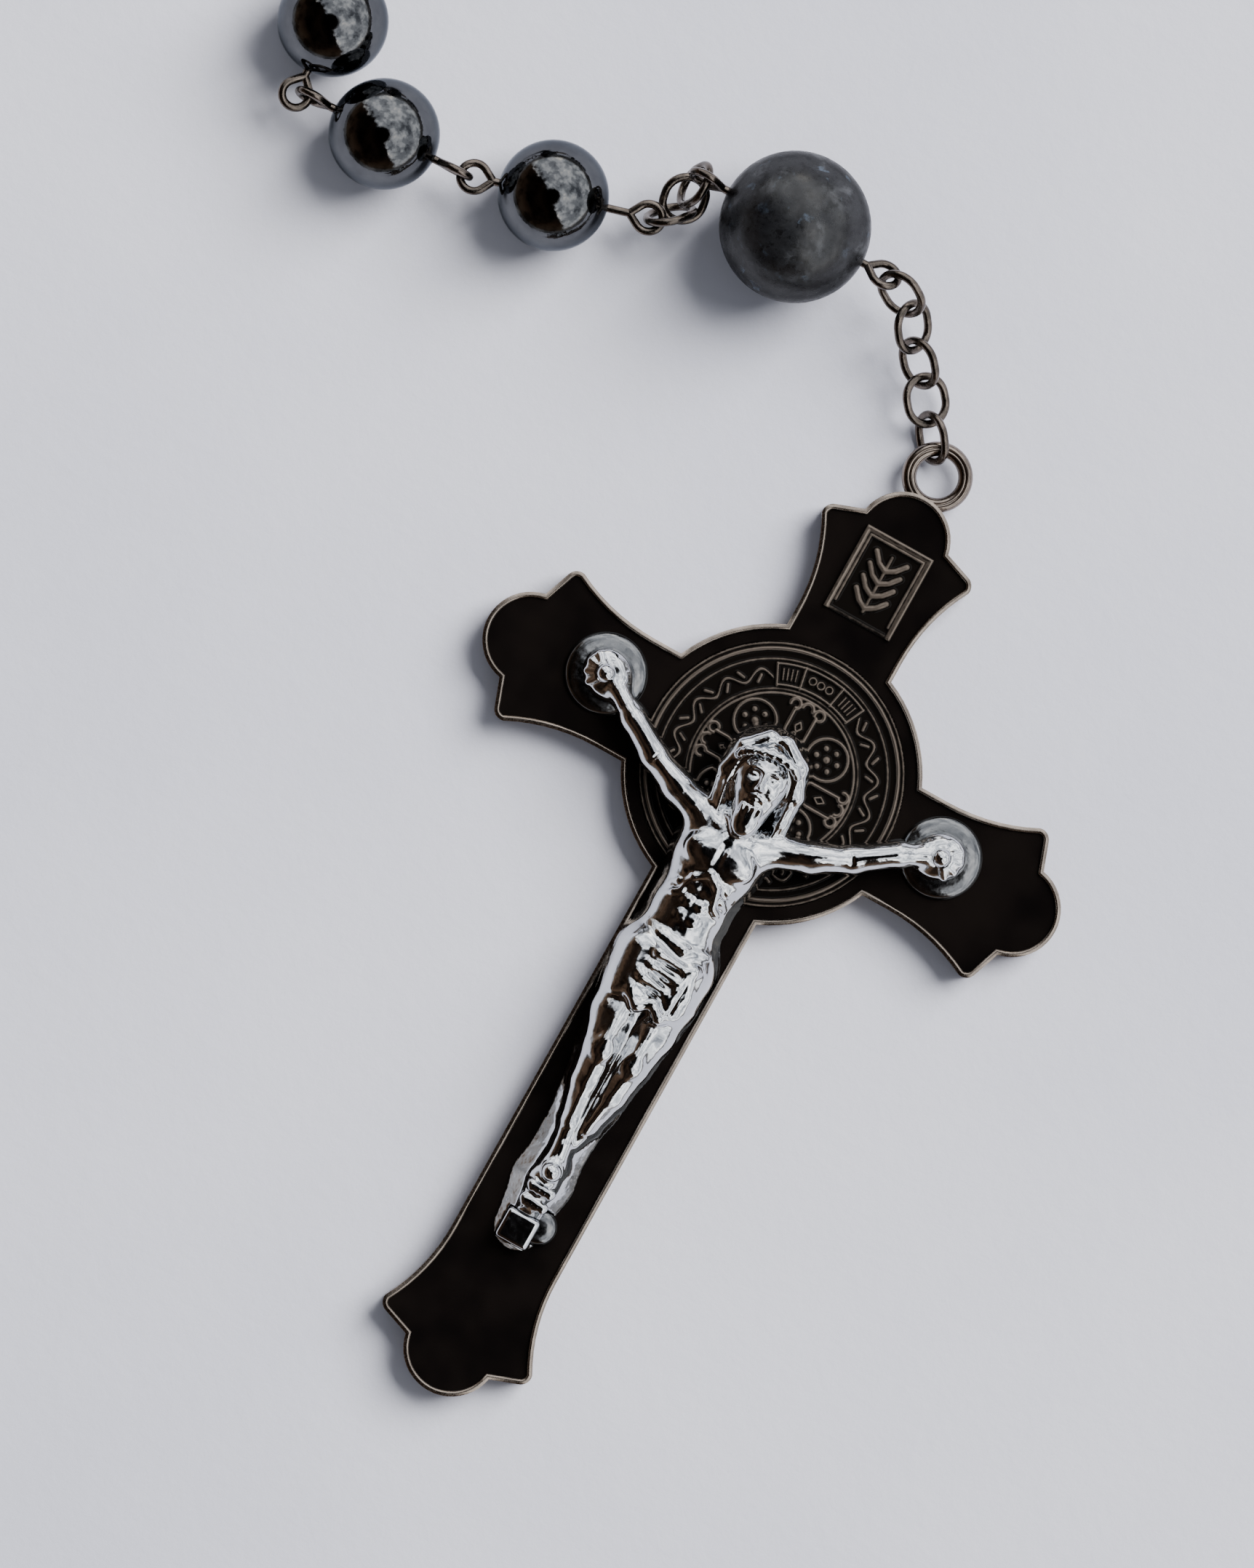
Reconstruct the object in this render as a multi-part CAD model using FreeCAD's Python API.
import FreeCAD, Part
import math
import os

# A five-decade rosary, laid flat. Millimetres, +Z up.
# The origin is on the crucifix's back face, under the middle of its round medal.
# The crucifix's long axis is +Y, its arms run along X, and everything rests on z = 0.

Vector = FreeCAD.Vector
UP = Vector(0, 0, 1)

# Wire, links and eye loops
wire_d = 0.45
linked_gap = 0.06            # clearance between two wires that hook into each other
link_length = 3.05           # outside
link_width = 2.7             # outside
loop_width = 1.95            # outside width of an eye loop
loop_reach = 2.33            # from the bead's surface to the loop's outer end
neck = 0.3                   # straight wire between the bead and its loop
bore_d = 0.60                # hole through a bead; the pin turns in it

open_lift = 12.0             # the two last eye loops lie one over the other, bent apart by this

# Beads
small_bead_d = 6.0
large_bead_d = 8.15

# Crucifix
body_t = 2.0
rim_w = 0.28
front_recess = 0.45
front_enamel_t = 0.25
back_recess = 0.25
disc_r = 8.1
upright_half_w = 3.2
arm_half_w = 3.3
cusp_half_w = 4.5
flare_length = 5.0
top_cusp_y = 13.6
side_cusp_x = 14.0
bottom_cusp_y = -34.45
lobe_reach = 3.4             # from the cusps' station to the tip of the lobe
notch_reach = 1.3
notch_half_w = 2.55
ring_y = 18.3                # hanging ring, cast with the cross
ring_r = 1.525
ring_wire_d = 0.80
ring_z = 1.1
medal_r = 7.2
medal_t = 0.5
titulus_w = 4.1
titulus_low_y = 9.25
titulus_high_y = 14.3
titulus_t = 0.5
titulus_rim_w = 0.3
hand_left = Vector(-10.4, 0.4, 0)
hand_right = Vector(10.1, 0.5, 0)
feet = Vector(0.05, -24.3, 0)
boss_r = 2.25
boss_t = 0.55
rivet_r = 0.35
rivet_head_r = 0.55
seat_gap = 0.02              # the figure is cast clear of the medal and of the hands' pads

# Centrepiece
centre_half_w = 6.2
centre_half_h = 7.6
centre_t = 1.8
centre_rim_w = 0.6
centre_band_w = 2.2          # the enamel band lies between the rim and this inset
centre_recess = 0.35
centre_ring_angle = 52.0     # upper rings, from the centrepiece's cross axis

large_r = large_bead_d / 2
small_r = small_bead_d / 2
hook = (wire_d + linked_gap) / 2          # from a pivot to the middle of each linked wire
ring_hook = (ring_wire_d + wire_d) / 2 + linked_gap
link_core = link_length - wire_d          # length of a link's centre line
loop_core_r = (loop_width - wire_d) / 2
front_z = body_t - front_recess + front_enamel_t

# How the links lie: heading, climb and roll in degrees, then the hooks at their two ends
crucifix_run = ((126.5, 11.7, -57, 0.70, 0.29),
                (130.0, 8.8, 22, 0.23, 0.23),
                (131.5, 19.8, -48, 0.29, 0.26),
                (127.5, 24.0, 41, 0.26, 0.37),
                (150.0, 23.4, -46, 0.18, 0.34))
slack_run = ((231.0, -54.6, 43, 0.20, 0.60),
             (279.5, -25.3, -17.5, 0.68, 0.60),
             (234.2, 35.4, 63.4, 0.55, 0.39))
ring_rolls = (65, -25, 65)      # a spacer that hooks into a flat cast ring
spacer_rolls = (0, 90, 0)      # a spacer between two upright eye loops

solids = {}
pivots = {}


def direction(heading, climb=0.0):
    h = math.radians(heading)
    c = math.radians(climb)
    return Vector(math.cos(h) * math.cos(c), math.sin(h) * math.cos(c), math.sin(c))


def placed(shape, point, heading, climb=0.0, roll=0.0):
    """Turn local +X to the heading and climb, roll about it, and move to the point."""
    result = shape.copy()
    result.Placement = FreeCAD.Placement(point, FreeCAD.Rotation(heading, -climb, roll))
    return result


def fused(shapes):
    result = shapes[0]
    if len(shapes) > 1:
        result = shapes[0].multiFuse(shapes[1:])
    return result.removeSplitter()


def rod(start, end, diameter):
    along = end - start
    return Part.makeCylinder(diameter / 2, along.Length, start, along)


def bend(centre, start, angle, diameter):
    """Wire bent about a vertical axis through centre, from start, by angle."""
    out = start - centre
    section = Part.Face(Part.Wire(Part.makeCircle(diameter / 2, start, UP.cross(out))))
    return section.revolve(centre, UP, angle)


# ---- wire pieces ----

def link_shape():
    half_run = (link_length - link_width) / 2
    r = (link_width - wire_d) / 2
    right = Vector(half_run, 0, 0)
    left = Vector(-half_run, 0, 0)
    side = Vector(0, r, 0)
    return fused([bend(right, right - side, 180, wire_d), bend(left, left + side, 180, wire_d),
                  rod(left + side, right + side, wire_d), rod(left - side, right - side, wire_d)])


def loop_shape(bead_r, extra_neck):
    """Teardrop eye loop on +X of a bead at the origin, flat in XY."""
    tip = bead_r + loop_reach + extra_neck - wire_d / 2
    centre = Vector(tip - loop_core_r, 0, 0)
    foot = Vector(bead_r + neck + extra_neck, 0, 0)
    half_turn = math.acos(loop_core_r / (centre.x - foot.x))
    tangent = Vector(-math.cos(half_turn), -math.sin(half_turn), 0) * loop_core_r
    low = centre + tangent
    high = Vector(low.x, -low.y, 0)
    sweep = 360 - 2 * math.degrees(half_turn)
    return fused([bend(centre, low, sweep, wire_d), rod(foot, low, wire_d), rod(foot, high, wire_d),
                  Part.makeSphere(wire_d / 2, foot)])


def pin_shape(bead_r, first_roll, second_roll, first_neck=0.0, second_neck=0.0, second_lift=0.0):
    """Double eye pin through a bead at the origin. The first loop is on -X, the second can be bent up."""
    first = loop_shape(bead_r, first_neck)
    first.rotate(Vector(0, 0, 0), UP, 180)
    first.rotate(Vector(0, 0, 0), Vector(1, 0, 0), first_roll)
    second = loop_shape(bead_r, second_neck)
    second.rotate(Vector(0, 0, 0), Vector(1, 0, 0), second_roll)
    foot = Vector(bead_r + neck + second_neck, 0, 0)
    second.rotate(foot, Vector(0, 1, 0), -second_lift)
    shank = rod(Vector(-bead_r - neck - first_neck, 0, 0), foot, wire_d)
    return fused([shank, first, second])


def bead_shape(bead_r):
    """Bead turned about its bore, which lies along X."""
    half_bore = math.sqrt(bead_r ** 2 - (bore_d / 2) ** 2)
    left = Vector(-half_bore, bore_d / 2, 0)
    right = Vector(half_bore, bore_d / 2, 0)
    arc = Part.Arc(left, Vector(0, bead_r, 0), right).toShape()
    section = Part.Face(Part.Wire([arc, Part.makeLine(right, left)]))
    return section.revolve(Vector(0, 0, 0), Vector(1, 0, 0), 360)


def loop_pivot(bead_r):
    """Distance from a bead's centre to the pivot in a tight loop."""
    return bead_r + loop_reach - wire_d / 2 - hook


# ---- the chain, walked from pivot to pivot ----

def add_link(pivot, heading, climb, roll, start_hook=hook, end_hook=hook):
    """A link whose near wire is start_hook behind the pivot. Returns it and its far pivot."""
    along = direction(heading, climb)
    centre = pivot + along * (link_core / 2 - start_hook)
    far = pivot + along * (link_core - start_hook - end_hook)
    return placed(link_shape(), centre, heading, climb, roll), far


def add_run(pivot, run):
    """Links in a row; each has heading, climb, roll and its two hooks. Returns them and the pivots."""
    links = []
    points = [pivot]
    for heading, climb, roll, near_hook, far_hook in run:
        link, pivot = add_link(pivot, heading, climb, roll, near_hook, far_hook)
        links.append(link)
        points.append(pivot)
    return links, points


def stretched_run(headings, rolls, rise, shares, start_hook=hook, end_hook=hook):
    """A taut run that rises by rise in all, each link by its share."""
    run = []
    last = len(headings) - 1
    for i, heading in enumerate(headings):
        near_hook = start_hook if i == 0 else hook
        far_hook = end_hook if i == last else hook
        climb = math.degrees(math.asin(rise * shares[i] / (link_core - near_hook - far_hook)))
        run.append((heading, climb, rolls[i], near_hook, far_hook))
    return run


def add_bead(pivot, heading, bead_r, rolls, necks=(0.0, 0.0), start=None, end=None, lift=0.0):
    """A bead on its pin. Returns the pin, the bead, its centre and the far pivot."""
    start = loop_pivot(bead_r) + necks[0] if start is None else start
    end = loop_pivot(bead_r) + necks[1] if end is None else end
    along = direction(heading)
    centre = Vector(pivot.x, pivot.y, bead_r) + along * start
    pin = placed(pin_shape(bead_r, rolls[0], rolls[1], necks[0], necks[1], lift), centre, heading)
    bead = placed(bead_shape(bead_r), centre, heading)
    return pin, bead, centre, centre + along * end


def name_run(first_number, links, points):
    for i, link in enumerate(links):
        name = "chain_link_%d" % (first_number + i)
        solids[name] = [link]
        pivots[name] = points[i]


def name_bead(size, number, pin, bead, centre, start_pivot, heading):
    solids["%s_pin_%d" % (size, number)] = [pin]
    solids["%s_bead_%d" % (size, number)] = [bead]
    pivots["%s_pin_%d" % (size, number)] = start_pivot
    pivots["%s_bead_%d" % (size, number)] = centre
    pivots["%s_bead_%d_axis" % (size, number)] = direction(heading)


# ---- crucifix ----

def arm_outline(half_w, cusp):
    """One arm along +X, from the middle of the cross to the tip of its lobe."""
    flare = cusp_half_w - half_w
    flare_r = (flare_length ** 2 + flare ** 2) / (2 * flare)
    mid = flare_length / 2
    mid_w = half_w + flare_r - math.sqrt(flare_r ** 2 - mid ** 2)
    inner = Vector(0, half_w, 0)
    straight_end = Vector(cusp - flare_length, half_w, 0)
    flare_mid = Vector(cusp - flare_length + mid, mid_w, 0)
    cusp_start = Vector(cusp, cusp_half_w, 0)
    cusp_mid = Vector(cusp + 0.45, cusp_half_w - 0.06, 0)
    cusp_end = Vector(cusp + 0.75, cusp_half_w - 0.42, 0)
    notch = Vector(cusp + notch_reach, notch_half_w, 0)
    tip = Vector(cusp + lobe_reach, 0, 0)

    def mirrored(point):
        return Vector(point.x, -point.y, 0)

    edges = [Part.makeLine(inner, straight_end),
             Part.Arc(straight_end, flare_mid, cusp_start).toShape(),
             Part.Arc(cusp_start, cusp_mid, cusp_end).toShape(),
             Part.makeLine(cusp_end, notch),
             Part.Arc(notch, tip, mirrored(notch)).toShape(),
             Part.makeLine(mirrored(notch), mirrored(cusp_end)),
             Part.Arc(mirrored(cusp_end), mirrored(cusp_mid), mirrored(cusp_start)).toShape(),
             Part.Arc(mirrored(cusp_start), mirrored(flare_mid), mirrored(straight_end)).toShape(),
             Part.makeLine(mirrored(straight_end), mirrored(inner)),
             Part.makeLine(mirrored(inner), inner)]
    return Part.Face(Part.Wire(edges))


def slab(face, low, high):
    lifted = face.copy()
    lifted.translate(Vector(0, 0, low))
    return lifted.extrude(Vector(0, 0, high - low))


def cross_face():
    """The outline of the cross, without its ring."""
    pieces = [Part.makeCylinder(disc_r, 1)]
    for half_w, cusp, turn in ((upright_half_w, top_cusp_y, 90), (arm_half_w, side_cusp_x, 0),
                               (arm_half_w, side_cusp_x, 180), (upright_half_w, -bottom_cusp_y, 270)):
        arm = slab(arm_outline(half_w, cusp), 0, 1)
        arm.rotate(Vector(0, 0, 0), UP, turn)
        pieces.append(arm)
    return [face for face in fused(pieces).Faces if face.BoundBox.ZMax < 1e-6][0]


def hanging_ring(centre):
    """Cast ring, grooved round its top."""
    ring = Part.makeTorus(ring_r, ring_wire_d / 2, centre)
    groove = Part.makeTorus(ring_r, 0.13, centre + UP * (ring_wire_d / 2))
    return ring.cut(groove)


def ball(point, radius):
    return Part.makeSphere(radius, point)


def limb(points, radii):
    """A chain of balls joined by cones that end just inside them."""
    tuck = 0.97
    pieces = [ball(points[0], radii[0])]
    for i in range(len(points) - 1):
        along = points[i + 1] - points[i]
        pieces.append(Part.makeCone(radii[i] * tuck, radii[i + 1] * tuck, along.Length, points[i], along))
        pieces.append(ball(points[i + 1], radii[i + 1]))
    return fused(pieces)


def corpus_shape():
    """The figure, as plain rounded volumes lying on the cross's face."""
    shoulder_z = front_z + 1.5
    left_arm = limb([Vector(-2.2, -3.5, shoulder_z), Vector(-4.3, -2.9, shoulder_z + 0.2),
                     Vector(-6.6, -1.8, shoulder_z), Vector(-8.6, -0.6, shoulder_z - 0.1),
                     Vector(hand_left.x, hand_left.y, front_z + boss_t + 0.45)],
                    [0.95, 0.85, 0.75, 0.62, 0.72])
    right_arm = limb([Vector(1.9, -3.5, shoulder_z), Vector(4.0, -2.8, shoulder_z + 0.2),
                      Vector(6.3, -1.6, shoulder_z), Vector(8.2, -0.4, shoulder_z - 0.1),
                      Vector(hand_right.x, hand_right.y, front_z + boss_t + 0.45)],
                     [0.95, 0.85, 0.75, 0.62, 0.72])
    torso = limb([Vector(-0.3, -4.4, shoulder_z + 0.1), Vector(-0.3, -6.6, shoulder_z + 0.2),
                  Vector(-0.25, -9.0, shoulder_z), Vector(-0.1, -11.6, shoulder_z + 0.1),
                  Vector(-0.1, -13.2, shoulder_z + 0.1)],
                 [2.1, 2.05, 1.7, 2.3, 2.1])
    shoulders = limb([Vector(-1.9, -3.9, shoulder_z), Vector(1.5, -3.9, shoulder_z)], [1.15, 1.1])
    head = limb([Vector(-0.5, -2.9, shoulder_z + 0.8), Vector(-0.4, -0.9, shoulder_z + 1.7),
                 Vector(-0.4, 0.2, shoulder_z + 1.6)],
                [1.0, 1.65, 1.7])
    left_leg = limb([Vector(-0.9, -13.0, shoulder_z), Vector(-0.6, -16.9, shoulder_z + 1.5),
                     Vector(-0.3, -22.4, shoulder_z - 0.1), Vector(-0.05, -26.2, front_z + boss_t + 0.75)],
                    [1.25, 1.0, 0.65, 0.6])
    right_leg = limb([Vector(0.8, -13.0, shoulder_z), Vector(0.9, -17.1, shoulder_z + 1.4),
                      Vector(0.45, -22.4, shoulder_z - 0.2), Vector(0.25, -26.0, front_z + boss_t + 0.7)],
                     [1.25, 1.0, 0.65, 0.6])
    figure = fused([torso, shoulders, head, left_arm, right_arm, left_leg, right_leg])
    above = Part.makeBox(40, 50, 10, Vector(-20, -35, front_z))
    return figure.common(above)


def rivet(point, head_z):
    """Rivet from the back face up through the figure, with a domed head."""
    shank = rod(Vector(point.x, point.y, 0), Vector(point.x, point.y, head_z), rivet_r * 2)
    head = ball(Vector(point.x, point.y, head_z), rivet_head_r)
    above = Part.makeBox(2, 2, 1, Vector(point.x - 1, point.y - 1, head_z))
    return fused([shank, head.common(above)])


def build_crucifix():
    outline = cross_face()
    inner = outline.makeOffset2D(-rim_w)
    ring = hanging_ring(Vector(0, ring_y, ring_z))
    front_floor = body_t - front_recess
    front_pocket = slab(inner, front_floor, body_t)
    back_pocket = slab(inner, 0, back_recess)
    plate = slab(outline, 0, body_t)
    hole = Part.makeCylinder(ring_r - ring_wire_d / 2, body_t, Vector(0, ring_y, 0))
    body = fused([plate, ring]).cut(hole).cut(front_pocket).cut(back_pocket)

    medal = Part.makeCylinder(medal_r, medal_t, Vector(0, 0, front_floor))
    for r in (medal_r - 0.25, medal_r - 0.65, medal_r - 1.15, 4.4):
        medal = medal.cut(Part.makeTorus(r, 0.1, Vector(0, 0, front_floor + medal_t)))
    titulus = Part.makeBox(titulus_w, titulus_high_y - titulus_low_y, titulus_t,
                           Vector(-titulus_w / 2, titulus_low_y, front_floor))
    titulus = titulus.cut(Part.makeBox(titulus_w - 2 * titulus_rim_w,
                                       titulus_high_y - titulus_low_y - 2 * titulus_rim_w, 0.2,
                                       Vector(titulus_rim_w - titulus_w / 2, titulus_low_y + titulus_rim_w,
                                              front_floor + titulus_t - 0.2)))
    enamel = slab(inner, front_floor, front_z).cut(medal).cut(titulus)
    back_enamel = slab(inner, 0, back_recess)

    bosses = []
    for point in (hand_left, hand_right, Vector(0.9, -27.3, 0)):
        dome = Part.makeCylinder(boss_r if point.y > -20 else 1.0, boss_t, Vector(point.x, point.y, front_z))
        bosses.append(dome.makeFillet(0.3, [e for e in dome.Edges if abs(e.BoundBox.ZMin - front_z - boss_t) < 1e-6]))
    block = Part.makeBox(1.9, 1.8, 1.5, Vector(-1.0, -28.75, front_z))
    block = block.makeFillet(0.2, [e for e in block.Edges if abs(e.BoundBox.ZMin - front_z - 1.5) < 1e-6])
    bosses[2] = bosses[2].cut(block)

    rivets = [rivet(hand_left, front_z + boss_t + 1.05), rivet(hand_right, front_z + boss_t + 1.05),
              rivet(feet, front_z + 2.4)]
    figure = corpus_shape().cut(bosses[2]).cut(block)
    for point, r, top in ((hand_left, boss_r + 0.05, front_z + boss_t), (hand_right, boss_r + 0.05, front_z + boss_t),
                          (Vector(0, 0, 0), medal_r, front_floor + medal_t)):
        seat = Part.makeCylinder(r, top + seat_gap - front_floor, Vector(point.x, point.y, front_floor))
        figure = figure.cut(seat)
    for shape in rivets:
        body = body.cut(shape)
        enamel = enamel.cut(shape)
        back_enamel = back_enamel.cut(shape)
        figure = figure.cut(shape)
        bosses = [boss.cut(shape) for boss in bosses]

    solids["cross_body"] = [body]
    solids["front_enamel"] = [enamel]
    solids["back_enamel"] = [back_enamel]
    solids["medal"] = [medal]
    solids["titulus_plate"] = [titulus]
    solids["corpus"] = [figure]
    solids["corpus_bosses"] = bosses
    solids["corpus_rivets"] = rivets
    solids["foot_rest"] = [block]


# ---- centrepiece ----

def centre_ring_point(centre, angle):
    """Middle of a cast ring on the centrepiece's edge, at an angle from +X."""
    a = math.radians(angle)
    edge = Vector(centre_half_w * math.cos(a), centre_half_h * math.sin(a), 0)
    return centre + edge + direction(angle) * (ring_r - 0.3) + UP * ring_z


def oval(centre, inset):
    """The centrepiece's outline, drawn in by inset."""
    ellipse = Part.Ellipse(Vector(0, 0, 0), centre_half_h - inset, centre_half_w - inset).toShape()
    ellipse.rotate(Vector(0, 0, 0), UP, 90)
    ellipse.translate(centre)
    return Part.Face(Part.Wire(ellipse))


def build_centrepiece(bottom_pivot):
    """Oval medal with three cast rings; its lower ring is at the pendant's last pivot."""
    drop = centre_half_h + ring_r - 0.3 + ring_r
    centre = Vector(bottom_pivot.x, bottom_pivot.y + drop, 0)
    outline = oval(centre, 0)
    inner = oval(centre, centre_rim_w)
    field = oval(centre, centre_band_w)
    angles = (270, centre_ring_angle, 180 - centre_ring_angle)
    rings = [hanging_ring(centre_ring_point(centre, angle)) for angle in angles]
    body = fused([slab(outline, 0, centre_t)] + rings)
    for angle in angles:
        point = centre_ring_point(centre, angle)
        body = body.cut(Part.makeCylinder(ring_r - ring_wire_d / 2, centre_t + 1, Vector(point.x, point.y, 0)))
    floor = centre_t - centre_recess
    channel = slab(inner, floor, centre_t).cut(slab(field, floor, centre_t))
    solids["centrepiece"] = [body.cut(channel)]
    solids["centrepiece_enamel"] = [channel.common(slab(outline, floor, floor + front_enamel_t))]
    return centre


# ---- pendant: crucifix to centrepiece ----

def build_pendant():
    grip = direction(127.2)
    start = Vector(0, ring_y, ring_z) + grip * ring_r
    links, points = add_run(start, crucifix_run)
    name_run(1, links, points)
    pivots["chain_link_1"] = start - grip * 0.9

    heading = 181.0
    pin, bead, centre, pivot = add_bead(points[-1], heading, large_r, (40, 104),
                                        start=large_r + 1.86, end=large_r + 1.31)
    name_bead("large", 1, pin, bead, centre, points[-1], heading)

    links, points = add_run(pivot, slack_run)
    name_run(6, links, points)
    pivots["chain_link_8"] = points[2] - direction(slack_run[1][0], slack_run[1][1]) * 0.5

    heading = 196.0
    long_neck = 0.88
    pin, bead, centre, pivot = add_bead(points[-1], heading, small_r, (-9, 0), necks=(long_neck, 0.0),
                                        start=small_r + long_neck + 1.85)
    name_bead("small", 1, pin, bead, centre, points[-1], heading)
    fold_start = pivot
    heading = 182.3
    pin, bead, centre, pivot = add_bead(pivot, heading, small_r, (90, 100), end=small_r + 2.19)
    name_bead("small", 2, pin, bead, centre, fold_start, heading)
    fold_end = pivot
    heading = 92.0
    pin, bead, centre, pivot = add_bead(pivot, heading, small_r, (14, 90), start=small_r + 1.135)
    name_bead("small", 3, pin, bead, centre, fold_end, heading)

    run = stretched_run((96, 92, 86), spacer_rolls, large_r - small_r, (0.3, 0.3, 0.4))
    links, points = add_run(pivot, run)
    name_run(9, links, points)
    heading = 88.0
    pin, bead, centre, pivot = add_bead(points[-1], heading, large_r, (90, ring_rolls[1]))
    name_bead("large", 2, pin, bead, centre, points[-1], heading)
    run = stretched_run((88, 91, 90), ring_rolls, ring_z - large_r, (0.24, 0.40, 0.36), end_hook=ring_hook)
    links, points = add_run(pivot, run)
    name_run(12, links, points)
    return points[-1]


# ---- loop of five decades ----

def turning_heading(fraction, first, exponent):
    """The heading turns from first to 180 degrees along one side of the loop."""
    return first + (180 - first) * fraction ** exponent


def branch_elements():
    """Lengths along one side, from the centrepiece to the middle of the third decade."""
    small = 2 * loop_pivot(small_r)
    large = 2 * loop_pivot(large_r)
    plain = link_core - 2 * hook
    ringed = link_core - ring_hook - hook
    half = [("small", small)] * 5
    spacer = [("link", plain)] * 3 + [("large", large)] + [("link", plain)] * 3
    return [("link", ringed), ("link", plain), ("link", plain)] + half + half + spacer + half + half + spacer + half


def branch_headings(first, exponent):
    elements = branch_elements()
    total = sum(length for _, length in elements)
    headings = []
    done = 0.0
    for _, length in elements:
        headings.append(turning_heading((done + length / 2) / total, first, exponent))
        done += length
    return headings


def closing_exponent(first, start_x):
    """The exponent that brings the branch back to the loop's middle line."""
    low = 1.0
    high = 3.0
    for _ in range(50):
        middle = (low + high) / 2
        headings = branch_headings(first, middle)
        reach = sum(length * math.cos(math.radians(h)) for (_, length), h in zip(branch_elements(), headings))
        if start_x + reach < 0:
            low = middle
        else:
            high = middle
    return (low + high) / 2


def mirror_x(shape, x):
    return shape.mirror(Vector(x, 0, 0), Vector(1, 0, 0))


def build_branch(centre, first_heading, group_names, mirror):
    """One side of the loop. Each half decade is one rigid group with the spacer that follows it."""
    ring = centre_ring_point(centre, centre_ring_angle)
    pivot = ring + direction(first_heading) * ring_r
    exponent = closing_exponent(first_heading, pivot.x - centre.x)
    headings = branch_headings(first_heading, exponent)
    kinds = [kind for kind, _ in branch_elements()]
    links_in_spacer = 3
    drop_shares = (0.35, 0.33, 0.32)
    entry_roll = ring_rolls[1]
    index = 0

    def spacer(rise, rolls, start_hook=hook):
        nonlocal index, pivot
        run = stretched_run(headings[index:index + links_in_spacer], rolls, rise, drop_shares, start_hook)
        links, points = add_run(pivot, run)
        index += links_in_spacer
        pivot = points[-1]
        return links

    def record(name, pins, beads, large, start):
        if mirror:
            pins = [mirror_x(s, centre.x) for s in pins]
            beads = [mirror_x(s, centre.x) for s in beads]
            large = [mirror_x(s, centre.x) for s in large]
            start = Vector(2 * centre.x - start.x, start.y, start.z)
        if name in ("decade_1a", "decade_5b"):
            start = centre_ring_point(centre, 180 - centre_ring_angle if mirror else centre_ring_angle)
        solids[name + "_wires"] = pins
        solids[name + "_beads"] = beads
        pivots[name] = start
        if large:
            solids[name + "_large_bead"] = large

    start = pivot
    pins = spacer(small_r - ring_z, ring_rolls, start_hook=ring_hook)
    for group, name in enumerate(group_names):
        beads = []
        large = []
        for number in range(5):
            rolls = (entry_roll, 90)
            entry_roll = 0
            lift = 0.0
            if group == len(group_names) - 1 and number == 4:
                rolls = (entry_roll, 0)
                lift = -open_lift if mirror else open_lift
            pin, bead, _, pivot = add_bead(pivot, headings[index], small_r, rolls, lift=lift)
            index += 1
            pins.append(pin)
            beads.append(bead)
        if index < len(kinds) and kinds[index] == "link":
            pins += spacer(large_r - small_r, spacer_rolls)
            pin, bead, _, pivot = add_bead(pivot, headings[index], large_r, (90, 90))
            index += 1
            pins.append(pin)
            large.append(bead)
            pins += spacer(small_r - large_r, spacer_rolls)
            entry_roll = 90
        record(name, pins, beads, large, start)
        pins = []
        start = pivot


def build():
    build_crucifix()
    last = build_pendant()
    centre = build_centrepiece(last)
    pivots["centrepiece"] = last + Vector(0, ring_r, 0)
    first_heading = 42.0
    build_branch(centre, first_heading, ("decade_1a", "decade_1b", "decade_2a", "decade_2b", "decade_3a"), False)
    build_branch(centre, first_heading, ("decade_5b", "decade_5a", "decade_4b", "decade_4a", "decade_3b"), True)


def write():
    os.makedirs("parts", exist_ok=True)
    for name, shapes in solids.items():
        shape = shapes[0] if len(shapes) == 1 else Part.makeCompound(shapes)
        shape.exportStep("parts/%s.step" % name)
        print("%-24s solids %2d  volume %8.2f" % (name, len(shape.Solids), shape.Volume))


build()
write()
